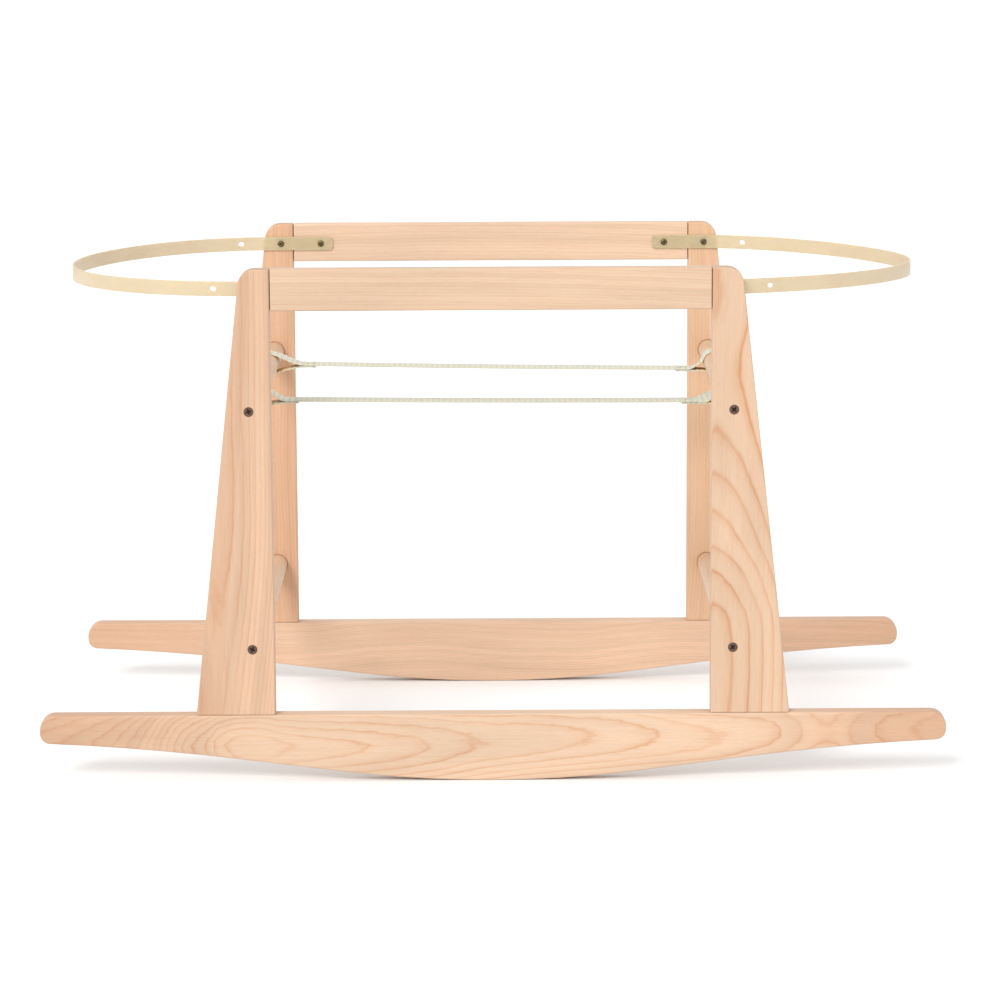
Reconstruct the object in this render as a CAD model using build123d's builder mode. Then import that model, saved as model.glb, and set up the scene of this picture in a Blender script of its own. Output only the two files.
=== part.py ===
from build123d import *
import math
import os

os.makedirs("parts", exist_ok=True)

# A rocking stand of beech for a carry cradle, in millimetres.
# The origin is on the floor under the middle of the stand. X runs along the rockers,
# Y runs across from the front frame to the back one, and Z is up.

# Driving sizes of the whole stand
stand_length = 880
stand_width = 460
stand_height = 500

# Boards of the two side frames
board = 19
edge_round = 1.5

# Rockers
rocker_top = 66
rocking_radius = 1150
rocking_half = 145
flank_run = 104
tail_radius = 2300
tip_top_round = 14
tip_bottom_round = 10

# Legs
leg_inner = 211
leg_foot = 76.5
leg_head = 28.5
shoulder_round = 16

# Top rails
rail_depth = 40
rail_gap = 0.7
rail_end_round = 0.8

# Pins of the glued joints, each in a blind bore that leaves room for the glue
glue_gap = 0.1
foot_pin_diameter = 10
foot_pin_length = 44
foot_pin_inset = 20
rail_pin_diameter = 8
rail_pin_length = 34
rail_pin_edge = 9

# Round cross dowels, which stand in shallow sockets in the legs
dowel_diameter = 20
dowel_inset = 21.3
upper_dowel_drop = 136.7
lower_dowel_rise = 65
socket_depth = 8
socket_gap = 0.15
socket_ease = 0.6
dowel_end_gap = 0.2

# Countersunk screws through the legs into the ends of the dowels
screw_head = 9.4
screw_shank = 4.5
screw_length = 50
screw_rim = 0.6
screw_sink = 0.2
screw_gap = 0.1
screw_point = 4

# Webbing straps, with a sewn loop round the dowel at each end
strap_width = 25
webbing = 2
strap_y = 118
loop_gap = 0.3
loop_crease = 0.4
sewn_length = 14

# Nylon hoops, bent from a flat strip that stands on edge
strip_height = 14.3
strip = 2.2
strip_drop = 20.6
strip_corner = 3.5
straight_run = 19
droop_radius = 6000
slot_length = 6.4
slot_height = 4.2
slot_margin = 12.6
slot_pitch = 42.4

# Small screws that hold the hoops to the legs and rails
hoop_screw_head = 6.8
hoop_screw_rim = 0.7
hoop_screw_crown = 1.3
hoop_screw_shank = 3.5
hoop_screw_depth = 13
hoop_screw_seat = 0.05

# Sizes that follow from the ones above
half_length = stand_length / 2
outer_y = stand_width / 2
inner_y = outer_y - board
board_y = outer_y - board / 2
dowel_x = leg_inner + dowel_inset
dowel_radius = dowel_diameter / 2
socket_radius = dowel_radius + socket_gap
socket_y = inner_y + socket_depth
rail_bottom = stand_height - rail_depth
rail_end = leg_inner - rail_gap
upper_dowel_z = stand_height - upper_dowel_drop
lower_dowel_z = rocker_top + lower_dowel_rise
strip_y = inner_y - strip / 2
strip_z = stand_height - strip_drop
bend_start = leg_inner + straight_run
head_height = (screw_head - screw_shank) / 2

# Where the two legs of each sewn loop meet: how far in from the dowel, and how far below its axis
strap_joins = {
    "front": {"left": (28.5, 3.2), "right": (32, 7.6)},
    "back": {"left": (35, 1.6), "right": (26, 8)},
}

# Each hoop: how far its strip laps over the rail, and its bends from the leg to the crown
# as pairs of radius and turn in degrees; the crown's radius closes the bow
hoops = {
    "left": {"lap": 42.2, "bends": [(175, 41)]},
    "right": {"lap": 38.7, "bends": [(60, 19), (276, 45)]},
}


def save(part, name):
    """Labels a finished piece and writes it under its name."""
    part.label = name
    export_step(part, f"parts/{name}.step")


def mirrored(part, *planes):
    """The part, mirrored about each of the planes in turn."""
    for plane in planes:
        with BuildPart() as turned:
            mirror(part, about=plane)
        part = turned.part
    return part


def to_corner(part, side, frame):
    """Turns a piece made at the right end of the front frame into the same piece at another corner."""
    planes = []
    if side == "left":
        planes.append(Plane.YZ)
    if frame == "back":
        planes.append(Plane.XZ)
    return mirrored(part, *planes)


def front_face(distance):
    """A plane that looks out of the front, at this distance in front of the middle of the stand."""
    return Plane.XZ.offset(distance)


def rocker():
    """Front rocker: flat on top, with a rocking arc under the middle that sweeps up into slim tails."""
    with BuildPart() as made:
        with BuildSketch(front_face(inner_y)) as outline:
            with BuildLine():
                arc_turn = math.degrees(math.asin(rocking_half / rocking_radius))
                sole = JernArc((0, 0), (1, 0), rocking_radius, arc_turn)
                flank = PolarLine(sole @ 1, flank_run, direction=sole % 1)
                start_slope = math.sin(math.radians(arc_turn))
                tail_run = half_length - (flank @ 1).X
                end_slope = start_slope - tail_run / tail_radius
                tail_turn = arc_turn - math.degrees(math.asin(end_slope))
                tail = JernArc(flank @ 1, flank % 1, tail_radius, -tail_turn)
                Polyline(tail @ 1, (half_length, rocker_top), (0, rocker_top), (0, 0))
            make_face()
            tips = outline.vertices().sort_by(Axis.X)[-2:].sort_by(Axis.Y)
            fillet(tips[0], tip_bottom_round)
            top_tip = outline.vertices().group_by(Axis.Y)[-1].sort_by(Axis.X)[-1]
            fillet(top_tip, tip_top_round)
            mirror(about=Plane.YZ)
        extrude(amount=board)
        faces = made.faces().sort_by(Axis.Y)
        fillet(faces[0].outer_wire().edges() + faces[-1].outer_wire().edges(), edge_round)
        with Locations(*foot_pin_places()):
            Hole(foot_pin_diameter / 2 + glue_gap, depth=foot_pin_length / 2 + glue_gap)
    return made.part


def foot_pin_places():
    """The tops of the pin bores in a rocker, on both legs' places."""
    inner_pin = leg_inner + foot_pin_inset
    outer_pin = leg_inner + leg_foot - foot_pin_inset
    return [(x, -board_y, rocker_top) for x in (-outer_pin, -inner_pin, inner_pin, outer_pin)]


def leg_pin_places():
    """The places of the two foot pins under the right front leg."""
    return foot_pin_places()[2:]


def rail_pin_heights():
    """The heights of the two pins at each end of a rail."""
    return (rail_bottom + rail_pin_edge, stand_height - rail_pin_edge)


def hoop_slots():
    """How far along the strip from its end each slot lies: in the rail, in the leg, and free."""
    return [slot_margin + i * slot_pitch for i in range(3)]


def strip_end(hoop):
    """Where a hoop's strip ends on the rail."""
    return leg_inner - hoop["lap"]


def hoop_screw_x(hoop):
    """Where the two screws of a hoop's end stand: in the rail and in the leg."""
    return [strip_end(hoop) + along for along in hoop_slots()[:2]]


def leg(hoop):
    """Right front leg: straight inside, tapering outside, with a rounded shoulder."""
    with BuildPart() as made:
        with BuildSketch(front_face(inner_y)) as outline:
            with BuildLine():
                Polyline(
                    (leg_inner, rocker_top),
                    (leg_inner + leg_foot, rocker_top),
                    (leg_inner + leg_head, stand_height),
                    (leg_inner, stand_height),
                    close=True,
                )
            make_face()
            shoulder = outline.vertices().group_by(Axis.Y)[-1].sort_by(Axis.X)[-1]
            fillet(shoulder, shoulder_round)
        extrude(amount=board)
        fillet(made.edges(), edge_round)
        for x, y, z in leg_pin_places():
            with BuildSketch(Plane.XY.offset(z)):
                with Locations((x, y)):
                    Circle(foot_pin_diameter / 2 + glue_gap)
            extrude(amount=foot_pin_length / 2 + glue_gap, mode=Mode.SUBTRACT)
        for z in rail_pin_heights():
            with BuildSketch(Plane.YZ.offset(leg_inner)):
                with Locations((-board_y, z)):
                    Circle(rail_pin_diameter / 2 + glue_gap)
            extrude(amount=rail_pin_length / 2 + glue_gap, mode=Mode.SUBTRACT)
        for z in (upper_dowel_z, lower_dowel_z):
            with BuildSketch(front_face(inner_y)):
                with Locations((dowel_x, z)):
                    Circle(socket_radius)
            extrude(amount=socket_depth, mode=Mode.SUBTRACT)
            seat = screw_profile(z, screw_gap, screw_sink)
            revolve(seat, axis=Axis((dowel_x, 0, z), (0, 1, 0)), mode=Mode.SUBTRACT)
        rings = made.edges().filter_by(GeomType.CIRCLE).group_by(Axis.Y)[-1]
        mouths = rings.filter_by(lambda edge: abs(edge.radius - socket_radius) < socket_gap)
        chamfer(mouths, socket_ease)
        with BuildSketch(front_face(inner_y)):
            with Locations((hoop_screw_x(hoop)[1], strip_z)):
                Circle(hoop_screw_shank / 2 + screw_gap)
        extrude(amount=hoop_screw_depth + screw_gap, mode=Mode.SUBTRACT)
    return made.part


def top_rail():
    """Front top rail, between the heads of the legs."""
    with BuildPart() as made:
        with BuildSketch(front_face(inner_y)):
            with Locations((0, stand_height - rail_depth / 2)):
                Rectangle(2 * rail_end, rail_depth)
        extrude(amount=board)
        fillet(made.edges().filter_by(Axis.X), edge_round)
        ends = made.faces().filter_by(Axis.X)
        fillet(ends.edges(), rail_end_round)
        for z in rail_pin_heights():
            for end in (-1, 1):
                with BuildSketch(Plane.YZ.offset(end * rail_end)):
                    with Locations((-board_y, z)):
                        Circle(rail_pin_diameter / 2 + glue_gap)
                bore = rail_pin_length / 2 - rail_gap + glue_gap
                extrude(amount=-end * bore, mode=Mode.SUBTRACT)
        with BuildSketch(front_face(inner_y)):
            with Locations(
                (hoop_screw_x(hoops["right"])[0], strip_z),
                (-hoop_screw_x(hoops["left"])[0], strip_z),
            ):
                Circle(hoop_screw_shank / 2 + screw_gap)
        extrude(amount=hoop_screw_depth + screw_gap, mode=Mode.SUBTRACT)
    return made.part


def foot_pins():
    """The two beech pins that hold the right front leg on its rocker."""
    with BuildPart() as made:
        with BuildSketch(Plane.XY.offset(rocker_top - foot_pin_length / 2)):
            with Locations(*[(x, y) for x, y, z in leg_pin_places()]):
                Circle(foot_pin_diameter / 2)
        extrude(amount=foot_pin_length)
        chamfer(made.edges().filter_by(GeomType.CIRCLE), 1)
    return made.part


def rail_pins():
    """The two beech pins between the front rail and the right front leg."""
    with BuildPart() as made:
        with BuildSketch(Plane.YZ.offset(leg_inner - rail_pin_length / 2)):
            with Locations(*[(-board_y, z) for z in rail_pin_heights()]):
                Circle(rail_pin_diameter / 2)
        extrude(amount=rail_pin_length)
        chamfer(made.edges().filter_by(GeomType.CIRCLE), 1)
    return made.part


def cross_dowel(z):
    """A right cross dowel, with a pilot bore for a screw in each end."""
    dowel_half = socket_y - dowel_end_gap
    reach = outer_y - screw_sink - screw_length
    with BuildPart() as made:
        with BuildSketch(front_face(-dowel_half)):
            with Locations((dowel_x, z)):
                Circle(dowel_radius)
        extrude(amount=2 * dowel_half)
        chamfer(made.edges().filter_by(GeomType.CIRCLE), 1)
        for end in (-1, 1):
            with BuildSketch(front_face(-end * dowel_half)):
                with Locations((dowel_x, z)):
                    Circle(screw_shank / 2 + screw_gap)
            extrude(amount=end * (dowel_half - reach + screw_gap), mode=Mode.SUBTRACT)
    return made.part


def screw_profile(z, skin, above):
    """Half the section of a countersunk screw, skin larger all round and above longer at the head."""
    top = -outer_y + screw_sink
    head_radius = screw_head / 2 + skin
    shank_radius = screw_shank / 2 + skin
    with BuildSketch(Plane.XY.offset(z)) as half:
        with BuildLine():
            Polyline(
                (dowel_x, top - above),
                (dowel_x + head_radius, top - above),
                (dowel_x + head_radius, top + screw_rim),
                (dowel_x + shank_radius, top + screw_rim + head_height),
                (dowel_x + shank_radius, top + screw_length - screw_point),
                (dowel_x, top + screw_length),
                close=True,
            )
        make_face()
    return half.sketch


def frame_screw(z):
    """The countersunk screw through the right front leg into the end of a dowel."""
    with BuildPart() as made:
        revolve(screw_profile(z, 0, 0), axis=Axis((dowel_x, 0, z), (0, 1, 0)))
    return made.part


def strap(frame):
    """A flat webbing strap between the upper dowels, folded back round each and sewn to its own underside."""
    y = -strap_y if frame == "front" else strap_y
    joins = {}
    for side, sign in (("left", -1), ("right", 1)):
        run, drop = strap_joins[frame][side]
        joins[side] = Vector(sign * (dowel_x - run), upper_dowel_z - drop)
    span = (joins["right"] - joins["left"]).normalized()
    down = span.rotate(Axis.Z, -90)
    with BuildPart() as made:
        with BuildSketch(front_face(-y)):
            for side, sign in (("left", -1), ("right", 1)):
                add(loop_outline(joins[side], sign, webbing))
            add(band(joins["left"], joins["right"], -down))
            for side, sign in (("left", -1), ("right", 1)):
                add(band(joins[side], joins[side] - span * sign * sewn_length, down))
            for side, sign in (("left", -1), ("right", 1)):
                add(loop_outline(joins[side], sign, 0), mode=Mode.SUBTRACT)
        extrude(amount=strap_width / 2, both=True)
    return made.part


def band(start, end, side):
    """The edge of a length of webbing from start to end, lying on that side of the line between them."""
    with BuildSketch() as made:
        with BuildLine():
            Polyline(start, end, end + side * webbing, start + side * webbing, close=True)
        make_face()
    return made.sketch


def loop_outline(join, sign, skin):
    """The teardrop round a dowel and the place where its loop is sewn, skin outside the loop's hollow."""
    with BuildSketch() as drop:
        with Locations((sign * dowel_x, upper_dowel_z)):
            Circle(dowel_radius + loop_gap + skin)
        with Locations((join.X, join.Y)):
            Circle(loop_crease + skin)
        make_hull()
    return drop.sketch


def bow_line(hoop, shift):
    """Half of a hoop's plan from its end to its crown, shifted outwards from the middle of the strip."""
    run = Line((strip_end(hoop), strip_y + shift), (bend_start, strip_y + shift))
    turned = 0
    for radius, turn in hoop["bends"]:
        run = JernArc(run @ 1, run % 1, radius + shift, -turn)
        turned += turn
    crown_radius = (run @ 1).Y / math.cos(math.radians(turned))
    return JernArc(run @ 1, run % 1, crown_radius, turned - 90)


def hoop_solid(hoop):
    """A right hoop: a flat strip on edge, screwed to both frames, that bows out and droops a little."""
    with BuildPart() as made:
        with BuildSketch(Plane.XY.offset(strip_z - strip_height)):
            with BuildLine():
                outer = bow_line(hoop, strip / 2)
                inner = bow_line(hoop, -strip / 2)
                Line(outer @ 1, inner @ 1)
                Line((strip_end(hoop), strip_y + strip / 2), (strip_end(hoop), strip_y - strip / 2))
            make_face()
        extrude(amount=2 * strip_height)
        crown_x = (outer @ 1).X
        droop_turn = math.degrees(math.asin((crown_x + strip - bend_start) / droop_radius))
        with BuildSketch(front_face(0)):
            with BuildLine():
                top_z = strip_z + strip_height / 2
                top = Line((strip_end(hoop), top_z), (bend_start, top_z))
                top_arc = JernArc(top @ 1, top % 1, droop_radius + strip_height / 2, -droop_turn)
                low_z = strip_z - strip_height / 2
                low = Line((strip_end(hoop), low_z), (bend_start, low_z))
                low_arc = JernArc(low @ 1, low % 1, droop_radius - strip_height / 2, -droop_turn)
                Line(top @ 0, low @ 0)
                Line(top_arc @ 1, low_arc @ 1)
            make_face()
        extrude(amount=-outer_y, mode=Mode.INTERSECT)
        end_face = made.faces().sort_by(Axis.X)[0]
        fillet(end_face.edges().filter_by(Axis.Y), strip_corner)
        with BuildLine(mode=Mode.PRIVATE) as bow:
            bow_line(hoop, 0)
        middle = bow.wires()[0]
        for along in hoop_slots():
            place = middle.position_at(along, position_mode=PositionMode.LENGTH)
            heading = middle.tangent_at(along, position_mode=PositionMode.LENGTH)
            wall = Plane(
                (place.X, place.Y, strip_z), x_dir=heading, z_dir=heading.rotate(Axis.Z, 90)
            )
            with BuildSketch(wall):
                SlotOverall(slot_length, slot_height)
            extrude(amount=2 * strip, both=True, mode=Mode.SUBTRACT)
        mirror(about=Plane.XZ)
    return made.part


def hoop_screws(hoop):
    """The two screws that hold the right end of a hoop to the front rail and leg."""
    seat = -inner_y + strip + hoop_screw_seat
    tip = -inner_y - hoop_screw_depth
    head_radius = hoop_screw_head / 2
    shank_radius = hoop_screw_shank / 2
    crown_radius = (head_radius**2 + hoop_screw_crown**2) / (2 * hoop_screw_crown)
    crown_turn = math.degrees(math.asin(head_radius / crown_radius))
    with BuildPart() as made:
        for x in hoop_screw_x(hoop):
            with BuildSketch(Plane.XY.offset(strip_z)):
                with BuildLine():
                    top = (x, seat + hoop_screw_rim + hoop_screw_crown)
                    crown = JernArc(top, (1, 0), crown_radius, -crown_turn)
                    Polyline(
                        crown @ 1,
                        (x + head_radius, seat),
                        (x + shank_radius, seat),
                        (x + shank_radius, tip + shank_radius),
                        (x, tip),
                        top,
                    )
                make_face()
            revolve(axis=Axis((x, 0, strip_z), (0, 1, 0)))
    return made.part


# Side frames
front_rocker = rocker()
front_rail = top_rail()
for frame in ("front", "back"):
    save(to_corner(front_rocker, "right", frame), f"{frame}_rocker")
    save(to_corner(front_rail, "right", frame), f"{frame}_top_rail")

# Legs, with the pins and screws at each corner
for side, hoop in hoops.items():
    for frame in ("front", "back"):
        corner = f"{frame}_{side}"
        save(to_corner(leg(hoop), side, frame), f"{corner}_leg")
        save(to_corner(foot_pins(), side, frame), f"{corner}_foot_pins")
        save(to_corner(rail_pins(), side, frame), f"{corner}_rail_pins")
        save(to_corner(frame_screw(upper_dowel_z), side, frame), f"{corner}_upper_screw")
        save(to_corner(frame_screw(lower_dowel_z), side, frame), f"{corner}_lower_screw")
        save(to_corner(hoop_screws(hoop), side, frame), f"{corner}_hoop_screws")

# Cross dowels and hoops
for side, hoop in hoops.items():
    save(to_corner(cross_dowel(upper_dowel_z), side, "front"), f"{side}_upper_dowel")
    save(to_corner(cross_dowel(lower_dowel_z), side, "front"), f"{side}_lower_dowel")
    save(to_corner(hoop_solid(hoop), side, "front"), f"{side}_hoop")

# Straps
for frame in ("front", "back"):
    save(strap(frame), f"{frame}_strap")
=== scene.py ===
import math

import bpy
import numpy as np
from bpy.props import FloatProperty, FloatVectorProperty, PointerProperty
from mathutils import Matrix, Vector


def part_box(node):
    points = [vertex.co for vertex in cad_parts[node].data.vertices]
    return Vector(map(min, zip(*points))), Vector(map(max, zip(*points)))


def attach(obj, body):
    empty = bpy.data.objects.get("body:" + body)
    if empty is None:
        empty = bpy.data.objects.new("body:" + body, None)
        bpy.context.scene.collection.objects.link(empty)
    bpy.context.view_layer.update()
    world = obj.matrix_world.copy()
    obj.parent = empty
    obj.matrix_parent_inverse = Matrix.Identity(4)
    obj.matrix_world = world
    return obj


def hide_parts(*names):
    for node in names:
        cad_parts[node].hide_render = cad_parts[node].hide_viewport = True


bl_info = {
    "name": "Rocking basket stand",
    "version": (1, 0, 0),
    "blender": (4, 5, 0),
    "location": "3D View > Sidebar > Stand",
    "description": "Dresses the beech rocking stand: wood figure, screws, nylon hoops and webbing straps",
    "category": "Object",
}

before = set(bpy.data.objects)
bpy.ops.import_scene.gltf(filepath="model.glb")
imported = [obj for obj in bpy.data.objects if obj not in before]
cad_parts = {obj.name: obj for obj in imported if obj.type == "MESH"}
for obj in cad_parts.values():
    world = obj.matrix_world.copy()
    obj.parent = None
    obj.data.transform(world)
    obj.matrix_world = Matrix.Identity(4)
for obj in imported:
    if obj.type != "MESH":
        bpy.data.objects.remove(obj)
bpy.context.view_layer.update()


def middle(node):
    """The middle of a node's box, in metres."""
    return [(float(low) + float(high)) / 2 for low, high in zip(*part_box(node))]


# Places taken from the frame, in metres
MM = 0.001
RAIL_LOW, RAIL_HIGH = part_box("front_top_rail")
INNER_Y = -float(RAIL_HIGH[1])
STAND_HEIGHT = float(RAIL_HIGH[2])
DOWEL_LOW, DOWEL_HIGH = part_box("right_upper_dowel")
DOWEL_X, _, DOWEL_Z = middle("right_upper_dowel")
DOWEL_RADIUS = float(DOWEL_HIGH[2] - DOWEL_LOW[2]) / 2
LEG_INNER = float(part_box("front_right_leg")[0][0])

# Which way each side and each frame lies from the middle, and where its boards' front faces are
SIDES = {"left": -1, "right": 1}
FRAMES = {"front": -1, "back": 1}
FRONT_FACES = {"front": float(RAIL_LOW[1]), "back": INNER_Y}


# Settings


def colour_setting(name, description, default):
    """A colour that the user can change."""
    return FloatVectorProperty(
        name=name, description=description, subtype="COLOR", size=3, min=0, max=1, default=default
    )


def length_setting(name, description, millimetres):
    """A length that the user can change, with its default given in millimetres."""
    return FloatProperty(name=name, description=description, unit="LENGTH", default=millimetres * MM)


class BeechSettings(bpy.types.PropertyGroup):
    light_wood: colour_setting(
        "Light wood", "Colour of the wood between its growth lines", (0.665, 0.472, 0.334))
    growth_line: colour_setting(
        "Growth line", "Colour of the late wood that draws the figure", (0.555, 0.280, 0.145))
    ray_fleck: colour_setting(
        "Ray fleck", "Colour of the short dark flecks along the grain", (0.330, 0.175, 0.095))
    deep_wood: colour_setting(
        "Deep wood", "What the wood's colour is multiplied by where a board darkens", (0.82, 0.72, 0.66))
    roughness: FloatProperty(
        name="Roughness", description="How matt the clear lacquer is", default=0.46, min=0, max=1)


class ScrewSettings(bpy.types.PropertyGroup):
    recess_span: length_setting("Recess span", "Width of the cross recess in a frame screw", 5.6)
    recess_arm: length_setting("Recess arm", "Width of one arm of the cross in a frame screw", 1.5)
    recess_depth: length_setting("Recess depth", "Depth of the cross recess in a frame screw", 3.4)
    bronze: colour_setting("Dark bronze", "Colour of the screws through the legs", (0.125, 0.080, 0.060))
    brass: colour_setting("Yellow bronze", "Colour of the small screws in the hoops", (0.120, 0.090, 0.042))


class NylonSettings(bpy.types.PropertyGroup):
    cream: colour_setting("Cream", "Colour of the translucent strip", (0.63, 0.51, 0.315))
    thickness: length_setting("Thickness", "Thickness of the strip", 2.2)
    height: length_setting("Height", "Height of the strip, which stands on edge", 14.3)
    edge_round: length_setting("Edge rounding", "Radius along the edges of the strip", 0.5)


class WebbingSettings(bpy.types.PropertyGroup):
    cream: colour_setting("Cream", "Colour of the woven webbing", (0.56, 0.547, 0.440))
    # Painted shade: this ochre stands in for the shadow inside each loop, warmed by light bounced off the
    # wood
    painted_loop_shade: colour_setting(
        "Loop shade", "Colour of the webbing's inside where it loops round a dowel", (0.93, 0.60, 0.16))
    thickness: length_setting("Thickness", "Thickness of the webbing", 1.7)
    width: length_setting("Width", "Width of the webbing", 25)
    rib_pitch: length_setting("Rib pitch", "Distance from one woven rib to the next", 5.65)
    rib_height: length_setting("Rib height", "How far the ribs stand proud", 0.09)


class StageSettings(bpy.types.PropertyGroup):
    floor: colour_setting("Floor", "Colour of the plain floor", (0.86, 0.86, 0.86))
    sky: FloatProperty(name="Sky", description="Strength of the even light all round", default=1.04)
    key: FloatProperty(name="Key light", description="Strength of the soft key light", default=1.95)


# Meshes


def grid_faces(rows, columns, closed=True):
    """Quads of a grid of points, numbered row by row. A closed grid joins its last column to its first."""
    across = np.arange(columns if closed else columns - 1)
    start = np.arange(rows - 1)[:, None] * columns
    a = start + across[None, :]
    b = start + (across[None, :] + 1) % columns
    return np.stack([a, b, b + columns, a + columns], axis=-1).reshape(-1, 4)


def pole_faces(rows, columns, first_pole, last_pole):
    """Triangles that close a grid of rings: the first ring to its pole and the last ring to its own."""
    around = np.arange(columns)
    following = (around + 1) % columns
    last = (rows - 1) * columns
    return (
        np.stack([following, around, np.full(columns, first_pole)], axis=-1),
        np.stack([last + around, last + following, np.full(columns, last_pole)], axis=-1),
    )


def end_faces(rows, columns):
    """The two flat ends of a tube whose rings are the rows of a grid."""
    around = np.arange(columns)
    return [around[::-1].tolist(), ((rows - 1) * columns + around).tolist()]


def signed_volume(points, faces):
    """Sum over each face's fan of triangles of its corners' triple product, over six."""
    total = 0.0
    by_size = {}
    for face in faces:
        by_size.setdefault(len(face), []).append(face)
    for size, group in by_size.items():
        corner = points[np.array(group)]
        for i in range(1, size - 1):
            normals = np.cross(corner[:, i], corner[:, i + 1])
            total += np.einsum("ij,ij->i", corner[:, 0], normals).sum() / 6
    return total


def add_piece(name, points, faces, material, crease, uv=None, painted_shade_marks=None):
    """Makes a mesh object from points in metres and faces, turned outwards, with smooth shading
    that breaks at the crease, in degrees. uv holds one pair for each point and marks one number,
    how much painted shade the point takes."""
    points = np.asarray(points, dtype=float)
    faces = [tuple(int(i) for i in face) for face in faces]
    if signed_volume(points, faces) < 0:
        faces = [face[::-1] for face in faces]
    mesh = bpy.data.meshes.new(name)
    mesh.from_pydata(points.tolist(), [], faces)
    corners = np.empty(len(mesh.loops), dtype=np.int32)
    mesh.loops.foreach_get("vertex_index", corners)
    if uv is not None:
        layer = mesh.uv_layers.new(name="webbing")
        layer.data.foreach_set("uv", np.asarray(uv)[corners].ravel().astype(np.float32))
    # The marks hold how much painted shade each point takes, kept in the point attribute inside
    if painted_shade_marks is not None:
        layer = mesh.attributes.new("inside", "FLOAT", "POINT")
        layer.data.foreach_set("value", np.asarray(painted_shade_marks).astype(np.float32))
    mesh.materials.append(material)
    mesh.validate()
    mesh.shade_smooth()
    mesh.set_sharp_from_angle(angle=math.radians(crease))
    piece = bpy.data.objects.new(name, mesh)
    bpy.context.collection.objects.link(piece)
    return piece


# Nodes and materials


def add_node(tree, kind, inputs=None, **settings):
    """Adds a node, sets its options, and sets or links each of its inputs."""
    node = tree.nodes.new(kind)
    for name, value in settings.items():
        setattr(node, name, value)
    for name, value in (inputs or {}).items():
        socket = node.inputs[name]
        if isinstance(value, bpy.types.NodeSocket):
            tree.links.new(value, socket)
        else:
            socket.default_value = value
    return node


def math_node(tree, operation, *values):
    """The result of a Math node on these values."""
    return add_node(tree, "ShaderNodeMath", dict(enumerate(values)), operation=operation).outputs[0]


def product(tree, first, *others):
    """The values multiplied together."""
    for value in others:
        first = math_node(tree, "MULTIPLY", first, value)
    return first


def vector_node(tree, operation, first, second):
    """The result of a Vector Math node on two vectors."""
    return add_node(tree, "ShaderNodeVectorMath", {0: first, 1: second}, operation=operation).outputs[0]


def noise(tree, vector, scale, detail=2.0, roughness=0.5):
    """Noise from 0 to 1 on a vector that is first scaled by three numbers, per metre."""
    place = vector_node(tree, "MULTIPLY", vector, scale)
    return add_node(
        tree, "ShaderNodeTexNoise", {"Vector": place, "Scale": 1.0, "Detail": detail, "Roughness": roughness}
    ).outputs["Fac"]


def between(tree, value, from_low, from_high, to_low=0.0, to_high=1.0, smooth=False):
    """A value carried from one range to another and clamped there."""
    return add_node(
        tree,
        "ShaderNodeMapRange",
        {"Value": value, "From Min": from_low, "From Max": from_high, "To Min": to_low, "To Max": to_high},
        interpolation_type="SMOOTHSTEP" if smooth else "LINEAR",
    ).outputs["Result"]


def mixed(tree, factor, first, second, blend_type="MIX"):
    """Two colours mixed by a factor. The Mix node keeps its colours in its sockets 6 and 7."""
    sockets = {0: factor, 6: first, 7: second}
    return add_node(tree, "ShaderNodeMix", sockets, data_type="RGBA", blend_type=blend_type).outputs[2]


def tinted(tree, first, second):
    """Two colours multiplied."""
    return mixed(tree, 1.0, first, second, "MULTIPLY")


def shaded(tree, base, shade):
    """A colour times a grey shade."""
    grey = add_node(tree, "ShaderNodeCombineColor", {"Red": shade, "Green": shade, "Blue": shade})
    return tinted(tree, base, grey.outputs[0])


def colour(value):
    """Three numbers as an opaque colour."""
    return (*value, 1.0)


def times(value, factor):
    """A colour made brighter or darker, up to white."""
    return colour([min(1.0, factor * part) for part in value])


def object_place(tree):
    """Where a point lies on its object, in metres."""
    return tree.nodes.new("ShaderNodeTexCoord").outputs["Object"]


def new_group(name, inputs, outputs):
    """An empty node group with these sockets, with what it is given and what it puts out. Inputs
    pair each title with a kind and a default, and outputs each title with a kind."""
    group = bpy.data.node_groups.new(name, "ShaderNodeTree")
    for title, (kind, value) in inputs.items():
        socket = group.interface.new_socket(name=title, in_out="INPUT", socket_type="NodeSocket" + kind)
        if value is not None:
            socket.default_value = value
    for title, kind in outputs.items():
        group.interface.new_socket(name=title, in_out="OUTPUT", socket_type="NodeSocket" + kind)
    return group, group.nodes.new("NodeGroupInput").outputs, group.nodes.new("NodeGroupOutput").inputs


def new_material(name, finish):
    """A material with one Principled shader whose fixed numbers are set on its own sockets."""
    material = bpy.data.materials.new(name)
    material.use_nodes = True
    tree = material.node_tree
    tree.nodes.clear()
    shader = add_node(tree, "ShaderNodeBsdfPrincipled", finish)
    add_node(tree, "ShaderNodeOutputMaterial", {"Surface": shader.outputs[0]})
    return material, tree, shader


def add_bump(tree, shader, height, distance, strength):
    """Feeds a height in 0 to 1 to the shader's normal, distance metres deep."""
    bump = add_node(tree, "ShaderNodeBump", {"Height": height, "Distance": distance, "Strength": strength})
    tree.links.new(bump.outputs["Normal"], shader.inputs["Normal"])


# Beech


# How dark a ring is at each share of its width. It darkens slowly to its late wood and ends sharply
RING_STOPS = [(0.0, 0.65), (0.04, 0.20), (0.16, 0.0), (0.60, 0.08), (0.84, 0.36), (0.95, 1.0), (1.0, 0.65)]

# How each kind of board lies: the axis of its length, and where it starts and ends along that, in mm
LAYS = {
    "rocker": ("x", -440, 440),
    "leg": ("z", 66, 500),
    "rail": ("x", -215, 215),
    "dowel": ("y", -215, 215),
    "pins": ("x", -300, 300),
}
TURNS = {"x": (0, 0, 0), "y": (0, 0, math.radians(-90)), "z": (0, math.radians(90), 0)}

# A dowel's axis is this much nearer to its pith than a board's front face would be, in metres
DOWEL_SHIFT = 19 * MM

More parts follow.
